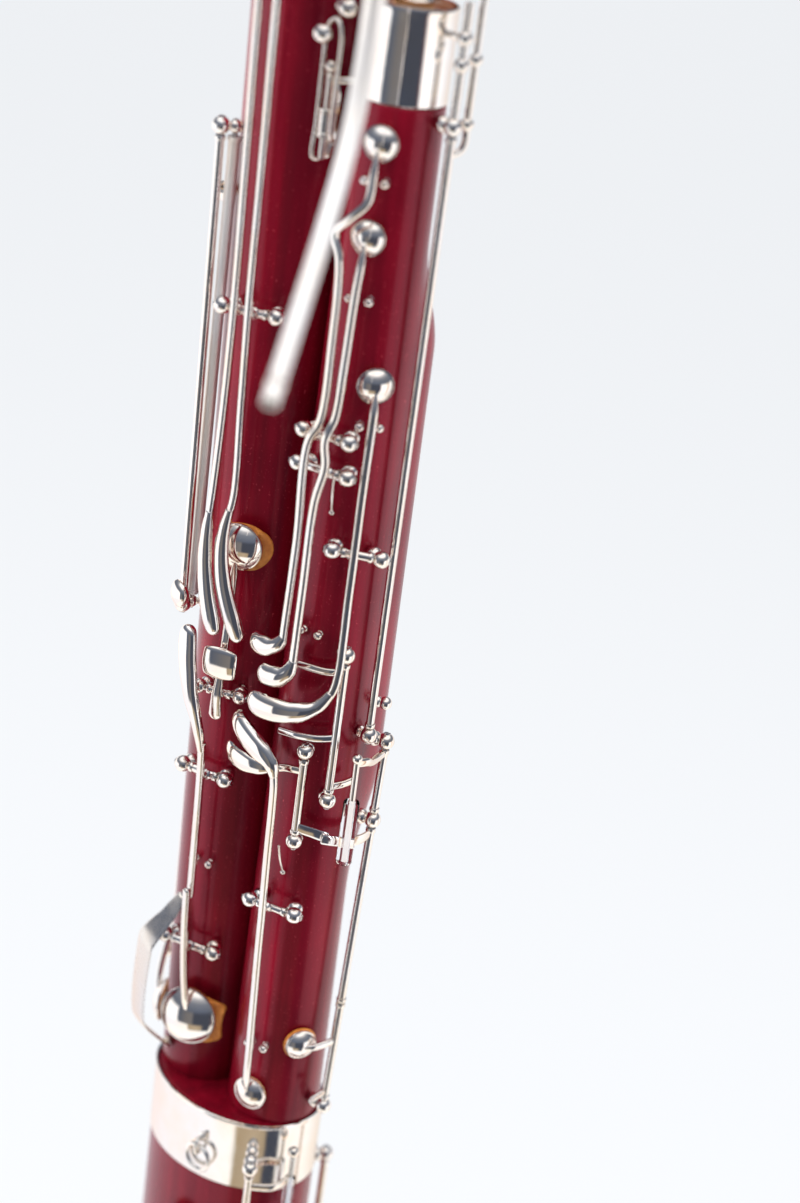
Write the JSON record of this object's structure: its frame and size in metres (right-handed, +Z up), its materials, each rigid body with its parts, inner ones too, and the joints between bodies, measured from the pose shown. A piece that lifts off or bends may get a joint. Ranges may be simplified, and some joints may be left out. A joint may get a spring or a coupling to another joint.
{
  "type": "bassoon",
  "caption": "Long folded double-reed wind instrument: oval boot, wing and long joints side by side, flared bell, curved crook and silver keywork on posts.",
  "frame": {"origin": "centre of the flat bottom of the boot cap", "axes": "+Z up along the instrument, +X towards the wing joint, -Y towards the thumb keys and the player"},
  "size_m": [0.1631, 0.2002, 1.34],
  "materials": {
    "lacquered_maple": "deep red lacquer over maple, high gloss",
    "silver_plate": "polished silver plate",
    "steel": "drawn tube, satin",
    "cork": "matt cork"
  },
  "bodies": {
    "body": {"boot_joint": "lacquered_maple", "boot_top_band": "silver_plate", "boot_bottom_cap": "silver_plate", "boot_u_tube": "steel", "u_tube_gasket": "cork", "wing_joint": "lacquered_maple", "wing_ferrule": "silver_plate", "wing_tenon_cork": "cork", "long_joint": "lacquered_maple", "long_tenon_cork": "cork", "bell": "lacquered_maple", "bell_lower_ring": "silver_plate", "bell_rim_ring": "silver_plate", "bocal": "silver_plate", "bocal_cork": "cork", "key_guard": "silver_plate", "high_d_posts": "silver_plate", "high_c_posts": "silver_plate", "high_a_posts": "silver_plate", "c_sharp_posts": "silver_plate", "whisper_lever_posts": "silver_plate", "trill_link_posts": "silver_plate", "whisper_key_posts": "silver_plate", "side_rod_posts": "silver_plate", "thumb_lever_posts": "silver_plate", "low_b_pad_posts": "silver_plate", "bell_key_posts": "silver_plate", "low_c_posts": "silver_plate", "low_d_lever_posts": "silver_plate", "low_d_pad_posts": "silver_plate", "low_c_sharp_posts": "silver_plate", "low_e_flat_posts": "silver_plate", "boot_thumb_posts": "silver_plate", "boot_finger_posts": "silver_plate"},
    "high_d_key": {"high_d_key": "silver_plate"},
    "high_c_key": {"high_c_key": "silver_plate"},
    "high_a_key": {"high_a_key": "silver_plate"},
    "c_sharp_key": {"c_sharp_key": "silver_plate"},
    "whisper_thumb_lever": {"whisper_thumb_lever": "silver_plate"},
    "trill_link_key": {"trill_link_key": "silver_plate"},
    "whisper_key": {"whisper_key": "silver_plate"},
    "whisper_lock_key": {"whisper_lock_key": "silver_plate"},
    "whisper_link_rod": {"whisper_link_rod": "silver_plate"},
    "wing_side_key": {"wing_side_key": "silver_plate"},
    "low_b_flat_lever": {"low_b_flat_lever": "silver_plate"},
    "low_b_lever": {"low_b_lever": "silver_plate"},
    "low_b_pad_key": {"low_b_pad_key": "silver_plate"},
    "bell_key": {"bell_key": "silver_plate"},
    "low_c_key": {"low_c_key": "silver_plate"},
    "low_d_thumb_lever": {"low_d_thumb_lever": "silver_plate"},
    "low_d_pad_key": {"low_d_pad_key": "silver_plate"},
    "low_c_sharp_lever": {"low_c_sharp_lever": "silver_plate"},
    "low_c_sharp_pad_key": {"low_c_sharp_pad_key": "silver_plate"},
    "low_e_flat_key": {"low_e_flat_key": "silver_plate"},
    "low_e_key": {"low_e_key": "silver_plate"},
    "b_flat_thumb_key": {"b_flat_thumb_key": "silver_plate"},
    "g_key": {"g_key": "silver_plate"},
    "low_f_key": {"low_f_key": "silver_plate"},
    "body_lock_pin": {"body_lock_pin": "silver_plate"},
    "strap_ring": {"strap_ring": "silver_plate"}
  },
  "joints": [
    {"name": "high_d_key_turn", "type": "hinge", "parent": "body", "child": "high_d_key", "pos_m": [0.02316, -0.0236, 0.7435], "axis": [0.9866, 0.1633, 0], "range_deg": [0, 3]},
    {"name": "high_c_key_turn", "type": "hinge", "parent": "body", "child": "high_c_key", "pos_m": [0.02305, -0.02334, 0.7303], "axis": [0.987, 0.1607, 0], "range_deg": [0, 3.2]},
    {"name": "high_a_key_turn", "type": "hinge", "parent": "body", "child": "high_a_key", "pos_m": [0.03701, -0.01508, 0.69985], "axis": [0.6396, 0.7509, -0.1645], "range_deg": [0, 3.5]},
    {"name": "c_sharp_key_turn", "type": "hinge", "parent": "body", "child": "c_sharp_key", "pos_m": [0.02494, -0.02379, 0.546], "axis": [0.9726, 0.2326, 0], "range_deg": [-3.5, 0]},
    {"name": "whisper_thumb_lever_turn", "type": "hinge", "parent": "body", "child": "whisper_thumb_lever", "pos_m": [0.0296, -0.0212, 0.59725], "axis": [0, 0, 1], "range_deg": [-8, 0]},
    {"name": "trill_link_key_turn", "type": "hinge", "parent": "body", "child": "trill_link_key", "pos_m": [0.038, -0.0145, 0.628], "axis": [0, 0, 1], "range_deg": [-5, 0]},
    {"name": "whisper_key_turn", "type": "hinge", "parent": "body", "child": "whisper_key", "pos_m": [0.0419, 0.0008, 0.7395], "axis": [0, 0, 1], "range_deg": [0, 6]},
    {"name": "whisper_lock_key_turn", "type": "hinge", "parent": "body", "child": "whisper_lock_key", "pos_m": [0.04495, 0.00465, 0.534], "axis": [-0.015, 0.0679, 0.9976], "range_deg": [0, 6]},
    {"name": "whisper_link_rod_turn", "type": "hinge", "parent": "body", "child": "whisper_link_rod", "pos_m": [0.04495, 0.00465, 0.534], "axis": [-0.015, 0.0679, 0.9976], "range_deg": [0, 5.04]},
    {"name": "wing_side_key_turn", "type": "hinge", "parent": "body", "child": "wing_side_key", "pos_m": [0.04495, 0.00465, 0.534], "axis": [-0.015, 0.0679, 0.9976], "range_deg": [0, 12]},
    {"name": "low_b_flat_lever_turn", "type": "hinge", "parent": "body", "child": "low_b_flat_lever", "pos_m": [-0.01382, -0.02933, 0.78], "axis": [0.9434, 0.3317, 0], "range_deg": [0, 1.5]},
    {"name": "low_b_lever_turn", "type": "hinge", "parent": "body", "child": "low_b_lever", "pos_m": [-0.01382, -0.02933, 0.78], "axis": [0.9434, 0.3317, 0], "range_deg": [0, 1.5]},
    {"name": "low_b_pad_key_turn", "type": "hinge", "parent": "body", "child": "low_b_pad_key", "pos_m": [-0.00643, -0.02745, 0.925], "axis": [0.8746, 0.4848, 0], "range_deg": [-8.4, 0]},
    {"name": "bell_key_turn", "type": "hinge", "parent": "body", "child": "bell_key", "pos_m": [-0.01968, -0.03245, 1.04], "axis": [0.9976, 0.0698, 0], "range_deg": [-3.9, 0]},
    {"name": "low_c_key_turn", "type": "hinge", "parent": "body", "child": "low_c_key", "pos_m": [-0.01192, -0.02555, 0.6265], "axis": [0.9516, 0.3074, 0], "range_deg": [-2.8, 0]},
    {"name": "low_d_thumb_lever_turn", "type": "hinge", "parent": "body", "child": "low_d_thumb_lever", "pos_m": [-0.01571, -0.02556, 0.5893], "axis": [0.9863, 0.165, 0], "range_deg": [-3.2, 0]},
    {"name": "low_d_pad_key_turn", "type": "hinge", "parent": "body", "child": "low_d_pad_key", "pos_m": [-0.01438, -0.02483, 0.5093], "axis": [0.9787, 0.2053, 0], "range_deg": [0, 6.8]},
    {"name": "low_c_sharp_lever_turn", "type": "hinge", "parent": "body", "child": "low_c_sharp_lever", "pos_m": [-0.0368, -0.026, 0.748], "axis": [-0.0151, -0.0065, 0.9999], "range_deg": [0, 6]},
    {"name": "low_c_sharp_pad_key_turn", "type": "hinge", "parent": "body", "child": "low_c_sharp_pad_key", "pos_m": [-0.0351, -0.0218, 0.748], "axis": [0.0011, -0.0086, 1], "range_deg": [0, 9]},
    {"name": "low_e_flat_key_turn", "type": "hinge", "parent": "body", "child": "low_e_flat_key", "pos_m": [-0.0477, 0.00292, 0.5665], "axis": [-0.0109, 0.0006, 0.9999], "range_deg": [-8, 0]},
    {"name": "low_e_key_turn", "type": "hinge", "parent": "body", "child": "low_e_key", "pos_m": [0.03279, -0.02697, 0.327], "axis": [0, 0, 1], "range_deg": [-7.2, 0]},
    {"name": "b_flat_thumb_key_turn", "type": "hinge", "parent": "body", "child": "b_flat_thumb_key", "pos_m": [0.03279, -0.02697, 0.327], "axis": [0, 0, 1], "range_deg": [0, 8]},
    {"name": "g_key_turn", "type": "hinge", "parent": "body", "child": "g_key", "pos_m": [0.02906, 0.02955, 0.27], "axis": [0, 0, 1], "range_deg": [0, 8.2]},
    {"name": "low_f_key_turn", "type": "hinge", "parent": "body", "child": "low_f_key", "pos_m": [0.02906, 0.02955, 0.27], "axis": [0, 0, 1], "range_deg": [0, 8.2]},
    {"name": "body_lock_pin_slide", "type": "slide", "parent": "body", "child": "body_lock_pin", "axis": [0, 0, 1], "range_m": [0, 0.006]},
    {"name": "strap_ring_turn", "type": "hinge", "parent": "body", "child": "strap_ring", "pos_m": [0.008, -0.03161, 0.424], "axis": [-1, 0, 0], "range_deg": [0, 90]}
  ],
  "couplings": [
    {"joint": "whisper_link_rod_turn", "follows": "whisper_thumb_lever_turn", "ratio": -0.63},
    {"joint": "whisper_key_turn", "follows": "whisper_thumb_lever_turn", "ratio": -0.75},
    {"joint": "bell_key_turn", "follows": "low_b_flat_lever_turn", "ratio": -2.6},
    {"joint": "low_b_pad_key_turn", "follows": "low_b_lever_turn", "ratio": -5.6},
    {"joint": "low_d_pad_key_turn", "follows": "low_d_thumb_lever_turn", "ratio": -2.1},
    {"joint": "low_c_sharp_pad_key_turn", "follows": "low_c_sharp_lever_turn", "ratio": 1.5}
  ]
}
